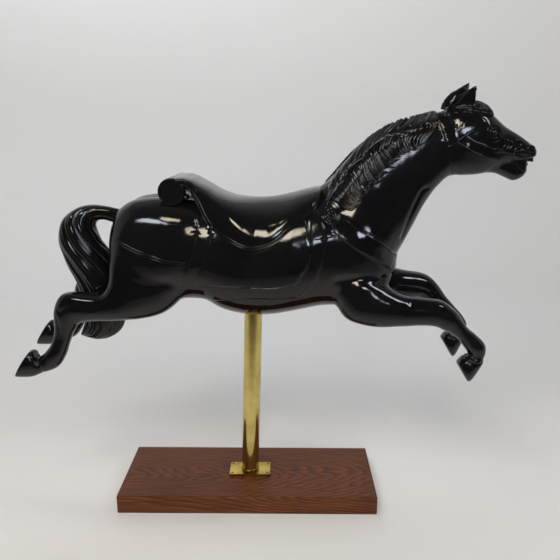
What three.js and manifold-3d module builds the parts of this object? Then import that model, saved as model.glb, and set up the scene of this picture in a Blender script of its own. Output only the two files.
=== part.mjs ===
// Carousel horse on its stand, millimetres, +Z up, +X towards the horse's head.
// The origin is in the middle of the board's underside.
import * as THREE from "three";
import { mergeVertices } from "three/addons/utils/BufferGeometryUtils.js";
import Module from "manifold-3d";

const wasm = await Module();
wasm.setup();

const GAP = 0.3;

const BOARD = { long: 560, deep: 205, thick: 41, arris: 2 };
const PLATE = { long: 92, deep: 50, thick: 6, corner: 2, inset: 6 };
const SCREW = { head: 5.5, shank: 2.8, length: 22, slot: 0.8 };
const POLE = { diameter: 38.1, x: 2, foot: 47, top: 545, leanDeg: 1.6 };

// ---------------------------------------------------------------- joining and cutting

function toSolid(geometry) {
  const bare = geometry.clone();
  bare.deleteAttribute("normal");
  bare.deleteAttribute("uv");
  const merged = mergeVertices(bare, 1e-4);
  return new wasm.Manifold(new wasm.Mesh({
    numProp: 3,
    vertProperties: Float32Array.from(merged.attributes.position.array),
    triVerts: Uint32Array.from(merged.index.array),
  }));
}

function toMesh(name, solid, material) {
  const mesh = solid.getMesh();
  const geometry = new THREE.BufferGeometry();
  geometry.setAttribute("position", new THREE.BufferAttribute(mesh.vertProperties, 3));
  geometry.setIndex(new THREE.BufferAttribute(mesh.triVerts, 1));
  geometry.computeVertexNormals();
  const node = new THREE.Mesh(geometry, material);
  node.name = name;
  return node;
}

const joined = (solids) => solids.reduce((all, one) => all.add(one));

// A closed body of these corners and faces, facing outwards whichever way it was listed.
function closedSolid(positions, faces) {
  const geometry = new THREE.BufferGeometry();
  geometry.setAttribute("position", new THREE.Float32BufferAttribute(positions, 3));
  geometry.setIndex(faces);
  const solid = toSolid(geometry);
  if (solid.volume() > 0) return solid;
  geometry.setIndex([...faces].reverse());
  return toSolid(geometry);
}

// ---------------------------------------------------------------- shapes

// Value of a row of numbers at u, eased through the rows before and after it.
function between(rows, u) {
  const last = rows.length - 1;
  const i = Math.min(Math.floor(u), last - 1);
  const f = u - i;
  const [a, b, c, d] = [-1, 0, 1, 2].map((k) => rows[Math.min(Math.max(i + k, 0), last)]);
  return b.map((value, k) => {
    const into = (c[k] - a[k]) / 2;
    const out = (d[k] - value) / 2;
    return value + f * (into + f * (3 * (c[k] - value) - 2 * into - out
      + f * (into + out - 2 * (c[k] - value))));
  });
}

const power = (v, p) => Math.sign(v) * Math.abs(v) ** p;

// A cut across a form: [upper x, upper z, lower x, lower z, half width, centre y].
// A form is a list of cuts from one end to the other; a point of its skin is given by how far
// along it lies and its angle about the cut, 0 at the upper edge and 90 degrees on the +Y side.
function skinPoint(form, along, angle) {
  const [ax, az, bx, bz, half, y] = between(form.cuts, along);
  const square = 2 / (form.square ?? 2);
  const up = power(Math.cos(angle), square);
  const out = power(Math.sin(angle), square);
  const groove = form.relief ? form.relief(along / (form.cuts.length - 1), angle) : 0;
  const length = Math.hypot(ax - bx, az - bz) || 1;
  const grow = (form.grow ?? 0) + groove;
  const reach = length / 2 + grow;
  const egg = 1 + (form.egg ?? 0) * up;
  return new THREE.Vector3(
    (ax + bx) / 2 + (up * reach * (ax - bx)) / length,
    y + out * (half * egg + grow),
    (az + bz) / 2 + (up * reach * (az - bz)) / length,
  );
}

// The closed skin of a form, with its two ends filled by fans.
function formSolid(form) {
  const around = form.around ?? 16;
  const rings = (form.cuts.length - 1) * (form.steps ?? 2);
  const points = [];
  for (let r = 0; r <= rings; r++) {
    const along = (r / rings) * (form.cuts.length - 1);
    for (let k = 0; k < around; k++) {
      points.push(skinPoint(form, along, (2 * Math.PI * k) / around));
    }
  }
  const faces = [];
  for (let r = 0; r < rings; r++) {
    for (let k = 0; k < around; k++) {
      const next = (k + 1) % around;
      const [a, b, c, d] = [r * around + k, r * around + next, (r + 1) * around + next,
        (r + 1) * around + k];
      faces.push(a, b, c, a, c, d);
    }
  }
  for (const r of [0, rings]) {
    const middle = new THREE.Vector3();
    for (let k = 0; k < around; k++) middle.add(points[r * around + k]);
    points.push(middle.divideScalar(around));
    for (let k = 0; k < around; k++) {
      const edge = [r * around + k, r * around + ((k + 1) % around)];
      if (r === 0) edge.reverse();
      faces.push(points.length - 1, ...edge);
    }
  }
  return closedSolid(points.flatMap((p) => p.toArray()), faces);
}

const mirrored = (cuts) => cuts.map(([ax, az, bx, bz, half, y]) => [ax, az, bx, bz, half, -y]);

// ---------------------------------------------------------------- the horse

const degrees = THREE.MathUtils.degToRad;

// Cuts of the barrel and quarters are upright, so each is [x, top, bottom, half width].
const upright = (rows) => rows.map(([x, top, bottom, half]) => [x, top, x, bottom, half, 0]);

const trunk = {
  around: 22,
  steps: 1,
  square: 2.25,
  cuts: upright([
    [-274, 598, 510, 38],
    [-271, 616, 494, 60],
    [-264, 636, 482, 76],
    [-250, 657, 468, 90],
    [-227, 673, 456, 101],
    [-195, 680, 450, 107],
    [-160, 681, 452, 108],
    [-120, 676, 462, 107],
    [-85, 671, 458, 105],
    [-50, 666, 438, 105],
    [0, 664, 426, 106],
    [50, 664, 426, 106],
    [100, 668, 434, 103],
    [150, 676, 444, 98],
    [195, 676, 446, 92],
    [235, 655, 448, 84],
    [268, 625, 456, 72],
    [292, 596, 474, 54],
    [304, 570, 500, 32],
    [307, 556, 520, 16],
  ]),
  // The cleft between the two halves of the croup.
  relief: (t, angle) => {
    const rear = THREE.MathUtils.smoothstep(0.55 - t, 0, 0.25);
    const side = Math.atan2(Math.sin(angle), Math.cos(angle)) / degrees(26);
    return -13 * rear * Math.exp(-side * side * 3);
  },
};

const neck = {
  around: 20,
  steps: 1,
  egg: -0.28,
  cuts: [
    [106, 662, 250, 470, 88, 0],
    [142, 686, 285, 510, 82, 0],
    [174, 711, 306, 548, 74, 0],
    [205, 748, 326, 588, 62, 0],
    [246, 783, 343, 621, 53, 0],
    [290, 808, 361, 658, 47, 0],
    [338, 826, 382, 690, 43, 0],
    [380, 838, 405, 712, 40, 0],
    [402, 842, 424, 716, 38, 0],
  ],
};

const head = {
  around: 16,
  steps: 1,
  square: 2.3,
  cuts: [
    [380, 826, 400, 735, 26, 0],
    [400, 846, 420, 716, 37, 0],
    [436, 853, 446, 715, 41, 0],
    [466, 848, 474, 718, 41, 0],
    [490, 829, 494, 726, 36, 0],
    [512, 811, 514, 735, 29, 0],
    [538, 796, 536, 742, 25, 0],
    [560, 781, 556, 746, 24, 0],
    [574, 770, 570, 748, 21, 0],
    [579, 762, 577, 753, 10, 0],
  ],
};

const lowerJaw = {
  around: 12,
  steps: 1,
  cuts: [
    [476, 750, 474, 719, 22, 0],
    [500, 748, 498, 719, 20, 0],
    [520, 745, 520, 711, 18, 0],
    [537, 741, 538, 704, 17, 0],
    [552, 738, 554, 710, 15, 0],
    [563, 733, 563, 720, 9, 0],
  ],
};

const nearHind = [
  [-150, 640, -96, 530, 36, -58],
  [-205, 640, -118, 486, 41, -60],
  [-248, 606, -142, 458, 42, -61],
  [-267, 556, -172, 440, 41, -63],
  [-272, 514, -212, 431, 38, -66],
  [-284, 488, -256, 429, 33, -70],
  [-306, 484, -300, 427, 28, -71],
  [-346, 487, -324, 425, 26, -71],
  [-371, 480, -338, 420, 24, -71],
  [-386, 453, -346, 408, 21, -70],
  [-389, 420, -352, 400, 18, -70],
  [-392, 397, -358, 386, 17, -69],
  [-401, 374, -364, 371, 18, -69],
  [-414, 358, -372, 350, 20, -69],
  [-424, 349, -390, 325, 19, -69],
  [-432, 346, -422, 313, 19, -69],
  [-436, 360, -446, 304, 24, -69],
  [-446, 361, -481, 304, 26, -69],
];

const nearFore = [
  [205, 560, 165, 500, 26, -50],
  [245, 538, 182, 460, 33, -55],
  [278, 508, 205, 430, 35, -60],
  [297, 493, 258, 416, 32, -66],
  [323, 481, 313, 418, 27, -70],
  [361, 477, 358, 421, 25, -72],
  [394, 472, 383, 419, 25, -72],
  [417, 457, 398, 412, 23, -72],
  [433, 440, 411, 406, 19, -72],
  [449, 417, 429, 394, 17, -72],
  [467, 402, 440, 381, 18, -72],
  [487, 382, 448, 370, 20, -72],
  [490, 362, 455, 360, 18, -72],
  [486, 349, 459, 352, 17, -72],
  [489, 338, 452, 353, 22, -72],
  [463, 288, 437, 334, 26, -72],
];

const farFore = [
  [205, 560, 165, 500, 26, 50],
  [255, 548, 190, 466, 33, 55],
  [292, 520, 240, 440, 35, 62],
  [337, 502, 322, 432, 30, 72],
  [382, 494, 374, 438, 26, 75],
  [405, 484, 393, 431, 25, 75],
  [424, 465, 406, 426, 22, 75],
  [442, 440, 420, 414, 18, 75],
  [461, 419, 437, 398, 17, 75],
  [482, 396, 453, 375, 19, 75],
  [494, 374, 458, 362, 19, 75],
  [488, 352, 460, 354, 17, 75],
  [489, 334, 451, 357, 22, 75],
  [468, 288, 437, 338, 26, 75],
];

// The far hind leg reaches a little higher and further back than the near one, more so
// towards the hoof.
const HIND_REACH = { back: 10, up: 19 };
const farHind = nearHind.map(([ax, az, bx, bz, half, y], i) => {
  const t = THREE.MathUtils.smoothstep(i, 3, nearHind.length - 2);
  return [ax - HIND_REACH.back * t, az + HIND_REACH.up * t, bx - HIND_REACH.back * t,
    bz + HIND_REACH.up * t, half, -y * (1 + 0.05 * t)];
});

const tail = {
  around: 20,
  steps: 1,
  relief: (t, angle) => 3 * Math.sin(5 * angle + 4 * t) * Math.min(1, 6 * t, 5 - 5 * t),
  cuts: [
    [-246, 640, -262, 608, 13, 0],
    [-268, 646, -279, 618, 14, 0],
    [-292, 651, -296, 622, 16, 0],
    [-318, 653, -308, 619, 20, 0],
    [-344, 648, -313, 609, 25, 0],
    [-368, 634, -311, 596, 30, 0],
    [-384, 613, -302, 576, 33, 0],
    [-391, 580, -286, 552, 35, 0],
    [-384, 551, -276, 524, 35, 0],
    [-374, 523, -272, 500, 34, 0],
    [-362, 496, -270, 480, 33, 0],
    [-354, 462, -265, 455, 32, 0],
    [-349, 430, -262, 424, 31, 0],
    [-346, 408, -274, 386, 29, 0],
    [-350, 396, -308, 364, 24, 0],
    [-356, 384, -342, 367, 15, 0],
    [-362, 373, -359, 369, 3, 0],
  ],
};

// The seat lies over the barrel; its widest line is the welt along its lower edge.
const seat = {
  around: 16,
  steps: 1,
  square: 2.3,
  cuts: upright([
    [-132, 706, 676, 66],
    [-116, 713, 676, 71],
    [-102, 711, 664, 74],
    [-88, 705, 634, 79],
    [-72, 696, 592, 87],
    [-51, 683, 558, 96],
    [-25, 674, 530, 104],
    [0, 671, 508, 108],
    [22, 670, 504, 109],
    [45, 671, 512, 108],
    [68, 674, 538, 103],
    [92, 679, 574, 93],
    [115, 685, 592, 83],
    [136, 690, 622, 70],
    [150, 692, 668, 48],
  ]),
};

const ROLL = { x: -140, z: 687, radius: 26.5, half: 70, round: 5 };

// Side outlines of the layers of carved leather and cloth, [x, z].
const flapOutline = [[-62, 700], [-62, 600], [-68, 574], [-80, 548], [-92, 507], [-40, 507],
  [45, 504], [84, 508], [108, 524], [127, 561], [126, 614], [112, 700]];
const clothOutline = [[-90, 660], [-88, 618], [-97, 568], [-119, 521], [-127, 474], [-60, 474],
  [8, 482], [97, 482], [122, 496], [138, 520], [152, 560], [155, 600], [148, 640], [100, 680]];
const breastStrap = [[178, 610], [221, 576], [245, 562], [274, 544], [291, 533], [330, 514],
  [330, 540], [298, 562], [278, 582], [262, 594], [241, 604], [220, 618], [196, 640]];
const breechStrap = [[-262, 606], [-245, 592], [-211, 575], [-174, 563], [-112, 550],
  [-112, 560], [-174, 573], [-211, 586], [-245, 604], [-262, 618]];
const throatLatch = [[389, 770], [398, 744], [408, 706], [440, 706], [431, 724], [420, 755],
  [405, 790], [380, 790]];
const browBand = [[384, 793], [411, 806], [428, 822], [470, 826], [480, 836], [424, 832],
  [402, 814], [384, 803]];
const cheekStrap = [[424, 788], [460, 771], [500, 758], [553, 745], [553, 752], [502, 765],
  [462, 779], [428, 796]];

const bodyForms = {
  trunk, neck, head, lowerJaw, tail, seat,
  nearHind: { around: 10, steps: 1, square: 2.3, cuts: nearHind },
  farHind: { around: 10, steps: 1, square: 2.3, cuts: farHind },
  nearFore: { around: 10, steps: 1, square: 2.3, cuts: nearFore },
  farFore: { around: 10, steps: 1, square: 2.3, cuts: farFore },
};

// A layer standing proud of the forms it is carved on, within a side outline.
function layer(outline, height, forms) {
  const shape = new THREE.Shape(outline.map(([x, z]) => new THREE.Vector2(x, z)));
  const wide = new THREE.ExtrudeGeometry(shape, { depth: 400, bevelEnabled: false });
  wide.rotateX(Math.PI / 2).translate(0, 200, 0);
  const raised = joined(forms.map((form) => formSolid({ ...form, grow: height })));
  return raised.intersect(toSolid(wide));
}

// A lock of hair: a tapered roll along a path, half sunk in the form below it.
function lock(path, radius, { sides = 4, pieces = 3, taper = 0.3 } = {}) {
  const curve = new THREE.CatmullRomCurve3(path);
  const points = curve.getPoints(pieces);
  const frames = curve.computeFrenetFrames(pieces, false);
  const cuts = points.map((point, i) => {
    const t = i / pieces;
    const size = radius * Math.max(taper, Math.sin(Math.PI * Math.min(1, 0.18 + 0.8 * t)) ** 0.6);
    return { point, size, n: frames.normals[i], b: frames.binormals[i] };
  });
  const positions = [];
  for (const { point, size, n, b } of cuts) {
    for (let k = 0; k < sides; k++) {
      const a = (2 * Math.PI * k) / sides;
      positions.push(...point.clone().addScaledVector(n, size * Math.cos(a))
        .addScaledVector(b, size * Math.sin(a)).toArray());
    }
  }
  const faces = [];
  for (let r = 0; r < pieces; r++) {
    for (let k = 0; k < sides; k++) {
      const next = (k + 1) % sides;
      faces.push(r * sides + k, r * sides + next, (r + 1) * sides + next);
      faces.push(r * sides + k, (r + 1) * sides + next, (r + 1) * sides + k);
    }
  }
  for (let k = 1; k < sides - 1; k++) {
    faces.push(0, k + 1, k);
    faces.push(pieces * sides, pieces * sides + k, pieces * sides + k + 1);
  }
  return closedSolid(positions, faces);
}

const onNeck = (along, angle, lift = 0) => skinPoint({ ...neck, grow: lift }, along, degrees(-angle));

// Long strands comb back from the crest; short curls hang below them down to a spiral.
const MANE = { strands: 6, curls: 8 };
const maneLocks = [];
for (let i = 0; i < MANE.strands; i++) {
  const start = 7.4 - i * 0.9;
  const path = [[0, 4], [-0.5, 18], [-1.1, 33], [-1.8, 48]]
    .map(([da, angle]) => onNeck(Math.max(1.5, start + da), angle, 1));
  maneLocks.push(lock(path, 9));
}
for (let i = 0; i < MANE.curls; i++) {
  const start = 6.9 - i * 0.62;
  const low = 73 + 7 * Math.sin(i * 1.9);
  const path = [[0, 36], [-0.2, 48], [-0.12, 60], [-0.42, low]]
    .map(([da, angle]) => onNeck(Math.max(1.6, start + da), angle, 1.5));
  maneLocks.push(lock(path, 10));
}
const CURL = { x: 169, z: 640, radius: 13, turns: 1.3, thick: 6 };
const curlPath = [];
for (let i = 0; i <= 10; i++) {
  const a = (2 * Math.PI * CURL.turns * i) / 10;
  const r = CURL.radius * (1 - (0.75 * i) / 10);
  curlPath.push(new THREE.Vector3(CURL.x - r * Math.cos(a), -78, CURL.z - r * Math.sin(a)));
}
maneLocks.push(lock(curlPath, CURL.thick, { pieces: 10 }));

// Forelock: strands drawn forward from between the ears.
const foreLocks = [-26, 0, 26].map((y) => {
  const drop = (y * y) / 95;
  return lock([
    new THREE.Vector3(410, y * 0.9, 851 - drop),
    new THREE.Vector3(438, y, 853 - drop),
    new THREE.Vector3(462, y * 0.9, 849 - drop * 0.8),
    new THREE.Vector3(477, y * 0.6, 837 - drop * 0.4),
    new THREE.Vector3(474, y * 0.5, 828 - drop * 0.4),
  ], 12);
});

const earCuts = [
  [386, 838, 438, 840, 12, -24],
  [391, 850, 442, 854, 13, -26],
  [400, 862, 443, 866, 11, -27],
  [415, 872, 444, 876, 8, -28],
  [429, 880, 444, 883, 5, -29],
  [440, 887, 442, 887, 1, -30],
];
const FAR_EAR = { x: 3, z: 9 };
const nearEar = { around: 10, steps: 1, cuts: earCuts };
const earHollow = {
  around: 8,
  steps: 1,
  cuts: [
    [408, 853, 436, 855, 8, -40],
    [410, 863, 439, 865, 9, -38],
    [421, 871, 440, 873, 7, -36],
    [433, 879, 440, 880, 3, -34],
  ],
};
const farOf = (form) => ({
  ...form,
  cuts: mirrored(form.cuts).map(([ax, az, bx, bz, half, y]) => [ax + FAR_EAR.x, az + FAR_EAR.z,
    bx + FAR_EAR.x, bz + FAR_EAR.z, half, y]),
});
const ears = [nearEar, farOf(nearEar)].map(formSolid);
const earHollows = [earHollow, farOf(earHollow)].map(formSolid);

const EYE = { x: 481, y: 33, z: 799, radius: 8 };
const NOSTRIL = { x: 571, y: 21, z: 763, radius: 4.5 };
const both = (spot, make) => [-1, 1].map((side) => make(spot).translate(spot.x, side * spot.y, spot.z));
const eyes = both(EYE, (e) => new THREE.SphereGeometry(e.radius, 10, 6)).map(toSolid);
const nostrils = both(NOSTRIL, (n) => new THREE.SphereGeometry(n.radius, 8, 5).scale(1, 1, 1.3))
  .map(toSolid);
const teeth = [[568, 747, 12, 30, 9], [557, 735, 10, 22, 8]].map(([x, z, long, wide, high]) =>
  toSolid(new THREE.BoxGeometry(long, wide, high).translate(x, 0, z)));

// The rolled cantle: a roll across the back with a raised spiral on each end.
const roll = toSolid(new THREE.LatheGeometry([
  new THREE.Vector2(0, -ROLL.half),
  new THREE.Vector2(ROLL.radius - ROLL.round, -ROLL.half),
  new THREE.Vector2(ROLL.radius, ROLL.round - ROLL.half),
  new THREE.Vector2(ROLL.radius, ROLL.half - ROLL.round),
  new THREE.Vector2(ROLL.radius - ROLL.round, ROLL.half),
  new THREE.Vector2(0, ROLL.half),
], 24).translate(ROLL.x, 0, ROLL.z));

const socket = poleBar(POLE.diameter / 2 + GAP, POLE.top + GAP);

const carved = joined([
  ...Object.values(bodyForms).map(formSolid),
  layer(clothOutline, 1.8, [trunk]),
  layer(flapOutline, 3.6, [trunk]),
  layer(breastStrap, 3, [trunk, neck]),
  layer(breechStrap, 2, [trunk]),
  layer(throatLatch, 2, [neck, head]),
  layer(browBand, 2, [neck, head]),
  layer(cheekStrap, 2, [head]),
  roll,
  ...ears,
  ...foreLocks,
  ...maneLocks,
  ...eyes,
  ...teeth,
]).subtract(joined([socket, ...earHollows, ...nostrils]));
// The block is solid between the locks, with no pockets inside it.
const horse = carved.decompose().reduce((a, b) => (a.volume() > b.volume() ? a : b));

// ---------------------------------------------------------------- the stand

const PLATE_TOP = BOARD.thick + GAP + PLATE.thick;
const SCREW_SPOTS = [-1, 1].flatMap((sx) => [-1, 1].map((sy) =>
  [POLE.x + sx * (PLATE.long / 2 - PLATE.inset), sy * (PLATE.deep / 2 - PLATE.inset)]));

// The bar of the pole, leaning towards the head, from below the plate up to a height.
function poleBar(radius, top) {
  const lean = degrees(POLE.leanDeg);
  const foot = -20;
  const bar = new THREE.CylinderGeometry(radius, radius, (top - foot) / Math.cos(lean), 32);
  bar.rotateX(Math.PI / 2).translate(0, 0, (top - foot) / 2 + foot - POLE.foot);
  bar.rotateY(lean).translate(POLE.x, 0, POLE.foot);
  return toSolid(bar);
}

const below = toSolid(new THREE.BoxGeometry(400, 400, 200).translate(0, 0, PLATE_TOP + GAP - 100));
const pole = poleBar(POLE.diameter / 2, POLE.top).subtract(below);

// A countersunk slotted wood screw, head up; grown by a gap it is the hole it sits in.
function screwSolid(grow) {
  const { head: across, shank, length } = SCREW;
  const sink = (across - shank) / 2;
  const profile = [
    new THREE.Vector2(0, -length - grow),
    new THREE.Vector2(shank / 2 + grow, -length - grow),
    new THREE.Vector2(shank / 2 + grow, -sink - 0.6 - grow),
    new THREE.Vector2(across / 2 + grow, -0.6 - grow),
    new THREE.Vector2(across / 2 + grow, grow > 0 ? 5 : 0),
    new THREE.Vector2(0, grow > 0 ? 5 : 0.5),
  ];
  return toSolid(new THREE.LatheGeometry(profile, 10).rotateX(Math.PI / 2)
    .translate(0, 0, PLATE_TOP));
}

const slot = toSolid(new THREE.BoxGeometry(SCREW.head * 1.4, SCREW.slot, 2)
  .translate(0, 0, PLATE_TOP + 0.4));
const screw = screwSolid(0).subtract(slot);
const holes = joined(SCREW_SPOTS.map(([x, y]) => screwSolid(GAP).translate([x, y, 0])));

const plateShape = new THREE.Shape([[-1, -1], [1, -1], [1, 1], [-1, 1]].flatMap(([sx, sy]) => {
  const [x, y, c] = [(sx * PLATE.long) / 2, (sy * PLATE.deep) / 2, PLATE.corner];
  const pair = [new THREE.Vector2(x - sx * c, y), new THREE.Vector2(x, y - sy * c)];
  return sx * sy > 0 ? pair.reverse() : pair;
}));
const plate = toSolid(new THREE.ExtrudeGeometry(plateShape, { depth: PLATE.thick,
  bevelEnabled: false }).translate(POLE.x, 0, BOARD.thick + GAP)).subtract(holes);

const boardShape = new THREE.Shape([[-1, 0], [1, 0], [1, 1], [-1, 1]].flatMap(([sy, sz]) => {
  const [y, z, c] = [(sy * BOARD.deep) / 2, sz * BOARD.thick, BOARD.arris];
  const inward = z - (sz > 0 ? 1 : -1) * c;
  const pair = [new THREE.Vector2(y - sy * c, z), new THREE.Vector2(y, inward)];
  return sy * (sz > 0 ? 1 : -1) > 0 ? pair.reverse() : pair;
}));
const board = toSolid(new THREE.ExtrudeGeometry(boardShape, { depth: BOARD.long,
  bevelEnabled: false }).rotateX(Math.PI / 2).rotateZ(Math.PI / 2)
  .translate(-BOARD.long / 2, 0, 0)).subtract(holes);

const lacquer = new THREE.MeshStandardMaterial({ color: 0x0b0b0d, roughness: 0.08 });
const brass = new THREE.MeshStandardMaterial({ color: 0xc9a24a, roughness: 0.25, metalness: 1 });
const dullBrass = new THREE.MeshStandardMaterial({ color: 0xa8853c, roughness: 0.35, metalness: 1 });
const oak = new THREE.MeshStandardMaterial({ color: 0x4e3428, roughness: 0.4 });

const stand = new THREE.Group();
stand.add(toMesh("board", board, oak));
stand.add(toMesh("plate", plate, dullBrass));
stand.add(toMesh("pole", pole, brass));
SCREW_SPOTS.forEach(([x, y], i) => {
  const node = toMesh(`screw_${i + 1}`, screw, dullBrass);
  node.position.set(x, y, 0);
  stand.add(node);
});

const group = new THREE.Group();
group.add(toMesh("horse", horse, lacquer));
group.add(stand);
export default group;
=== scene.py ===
import math
import bmesh
import bpy
import numpy as np
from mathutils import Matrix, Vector, noise
from mathutils.bvhtree import BVHTree
from mathutils.kdtree import KDTree


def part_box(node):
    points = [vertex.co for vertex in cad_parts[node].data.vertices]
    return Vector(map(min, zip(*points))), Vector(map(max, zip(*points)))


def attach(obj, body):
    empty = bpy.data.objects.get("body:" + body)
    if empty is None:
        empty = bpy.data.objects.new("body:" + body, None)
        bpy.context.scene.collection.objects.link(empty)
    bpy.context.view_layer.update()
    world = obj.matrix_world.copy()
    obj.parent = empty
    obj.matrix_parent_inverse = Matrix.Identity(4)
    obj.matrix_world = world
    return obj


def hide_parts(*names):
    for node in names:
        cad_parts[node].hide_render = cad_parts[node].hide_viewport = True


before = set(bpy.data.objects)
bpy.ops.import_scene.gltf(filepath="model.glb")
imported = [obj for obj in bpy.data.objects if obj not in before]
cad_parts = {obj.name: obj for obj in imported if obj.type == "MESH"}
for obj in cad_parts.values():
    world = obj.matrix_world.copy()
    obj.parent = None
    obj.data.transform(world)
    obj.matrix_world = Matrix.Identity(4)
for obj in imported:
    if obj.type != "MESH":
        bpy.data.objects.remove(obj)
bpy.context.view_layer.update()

# ---- Board ----------------------------------------------------------------------------------
# One flat-sawn oak plank, planed and sawn square, its arrises rubbed down, dark stained and
# satin varnished. The stand's plate is screwed to its top and it lies loose on the floor.
MM = 0.001
ARRIS = 1.6 * MM
GROWTH_RING = 0.0052  # metres, about the width of a year in a fast-grown oak


def linear(hex_colour):
    """sRGB hex to the linear colour a shader takes."""
    parts = [int(hex_colour[i:i + 2], 16) / 255 for i in (1, 3, 5)]
    return [p / 12.92 if p <= 0.04045 else ((p + 0.055) / 1.055) ** 2.4 for p in parts] + [1.0]


def add(tree, kind, links=None, **settings):
    """A shader node with its settings, and links or values on its inputs."""
    node = tree.nodes.new(kind)
    for name, value in settings.items():
        setattr(node, name, value)
    for name, value in (links or {}).items():
        if isinstance(value, bpy.types.NodeSocket):
            tree.links.new(value, node.inputs[name])
        else:
            node.inputs[name].default_value = value
    return node


def ramp(tree, factor, stops):
    """A colour ramp with its stops given as (place, hex colour)."""
    node = add(tree, "ShaderNodeValToRGB", {"Fac": factor})
    for i, (place, shade) in enumerate(stops):
        stop = node.color_ramp.elements[i] if i < 2 else node.color_ramp.elements.new(place)
        stop.position = place
        stop.color = linear(shade)
    return node.outputs["Color"]


def finish_of(name):
    """A new material with an empty tree, its shader and its object coordinates."""
    material = bpy.data.materials.new(name)
    material.use_nodes = True
    tree = material.node_tree
    tree.nodes.clear()
    shader = add(tree, "ShaderNodeBsdfPrincipled")
    add(tree, "ShaderNodeOutputMaterial", {"Surface": shader.outputs["BSDF"]})
    place = add(tree, "ShaderNodeTexCoord").outputs["Object"]
    return material, tree, shader, place


def piece(name, points, faces, material):
    """A smooth mesh object with all its faces turned outwards."""
    mesh = bpy.data.meshes.new(name)
    mesh.from_pydata([tuple(p) for p in points], [], faces)
    mesh.validate()
    outward = bmesh.new()
    outward.from_mesh(mesh)
    bmesh.ops.recalc_face_normals(outward, faces=outward.faces)
    outward.to_mesh(mesh)
    outward.free()
    mesh.polygons.foreach_set("use_smooth", [True] * len(mesh.polygons))
    made = bpy.data.objects.new(name, mesh)
    bpy.context.scene.collection.objects.link(made)
    made.data.materials.append(material)
    return made


def darkened(tree, colour, shade, amount):
    """One colour multiplied by another."""
    node = add(tree, "ShaderNodeMix", {"Factor": amount}, data_type="RGBA", blend_type="MULTIPLY")
    first, second = [socket for socket in node.inputs if socket.type == "RGBA"]
    tree.links.new(colour, first)
    tree.links.new(shade, second)
    return [socket for socket in node.outputs if socket.type == "RGBA"][0]


def stained_oak():
    """Flat-sawn oak, stained dark and varnished: cathedral figure, open pores, satin gloss."""
    material, tree, shader, place = finish_of("stained_oak")
    axes = add(tree, "ShaderNodeSeparateXYZ", {"Vector": place}).outputs
    # The grain wanders from straight over some 330 mm of length and 70 mm of width.
    wander = add(tree, "ShaderNodeTexNoise", {"Vector": add(
        tree, "ShaderNodeMapping", {"Vector": place, "Scale": (3.0, 14.0, 14.0)}).outputs[0],
        "Scale": 1.0, "Detail": 3.0, "Roughness": 0.5}).outputs["Fac"]
    # The plank is a slice beside the heart of the log, so the rings open in long arches.
    tilt = add(tree, "ShaderNodeMath", {0: axes["X"], 1: 0.16}, operation="MULTIPLY").outputs[0]
    bow = add(tree, "ShaderNodeMath", {0: wander, 1: 0.050}, operation="MULTIPLY").outputs[0]
    depth = add(tree, "ShaderNodeMath", {0: axes["Z"], 1: tilt}, operation="ADD").outputs[0]
    deep = add(tree, "ShaderNodeMath", {0: depth, 1: bow}, operation="ADD").outputs[0]
    heart = add(tree, "ShaderNodeCombineXYZ", {"Y": axes["Y"], "Z": deep}).outputs[0]
    offset = add(tree, "ShaderNodeVectorMath", {0: heart, 1: (0.0, 0.018, 0.012)},
                 operation="ADD").outputs[0]
    ring = add(tree, "ShaderNodeVectorMath", {0: offset}, operation="LENGTH").outputs["Value"]
    turns = add(tree, "ShaderNodeMath", {0: ring, 1: 1 / GROWTH_RING}, operation="MULTIPLY").outputs[0]
    saw = add(tree, "ShaderNodeMath", {0: turns}, operation="FRACT").outputs[0]
    # Pores and fibres lie along the plank, about 1.1 mm across and 70 mm long.
    fibre = add(tree, "ShaderNodeTexNoise", {"Vector": add(
        tree, "ShaderNodeMapping", {"Vector": place, "Scale": (14.0, 900.0, 900.0)}).outputs[0],
        "Scale": 1.0, "Detail": 2.0}).outputs["Fac"]
    # The stain has taken unevenly, in patches of about 140 mm.
    patch = add(tree, "ShaderNodeTexNoise", {"Vector": place, "Scale": 7.0,
                                             "Detail": 2.0}).outputs["Fac"]
    body = ramp(tree, saw, [(0.0, "#4a240c"), (0.30, "#643410"), (0.75, "#7a4417"), (1.0, "#522a0e")])
    pores = ramp(tree, fibre, [(0.38, "#6a5444"), (0.56, "#ffffff")])
    tone = ramp(tree, patch, [(0.3, "#d9c6b4"), (0.7, "#ffffff")])
    open_grain = darkened(tree, body, pores, 0.75)
    tree.links.new(darkened(tree, open_grain, tone, 0.8), shader.inputs["Base Color"])
    rough = add(tree, "ShaderNodeMapRange", {"Value": fibre, "To Min": 0.60, "To Max": 0.42})
    shader.inputs["IOR"].default_value = 1.4
    tree.links.new(rough.outputs[0], shader.inputs["Roughness"])
    bump = add(tree, "ShaderNodeBump", {"Height": fibre, "Strength": 0.25, "Distance": 0.0005})
    tree.links.new(bump.outputs[0], shader.inputs["Normal"])
    return material


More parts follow.
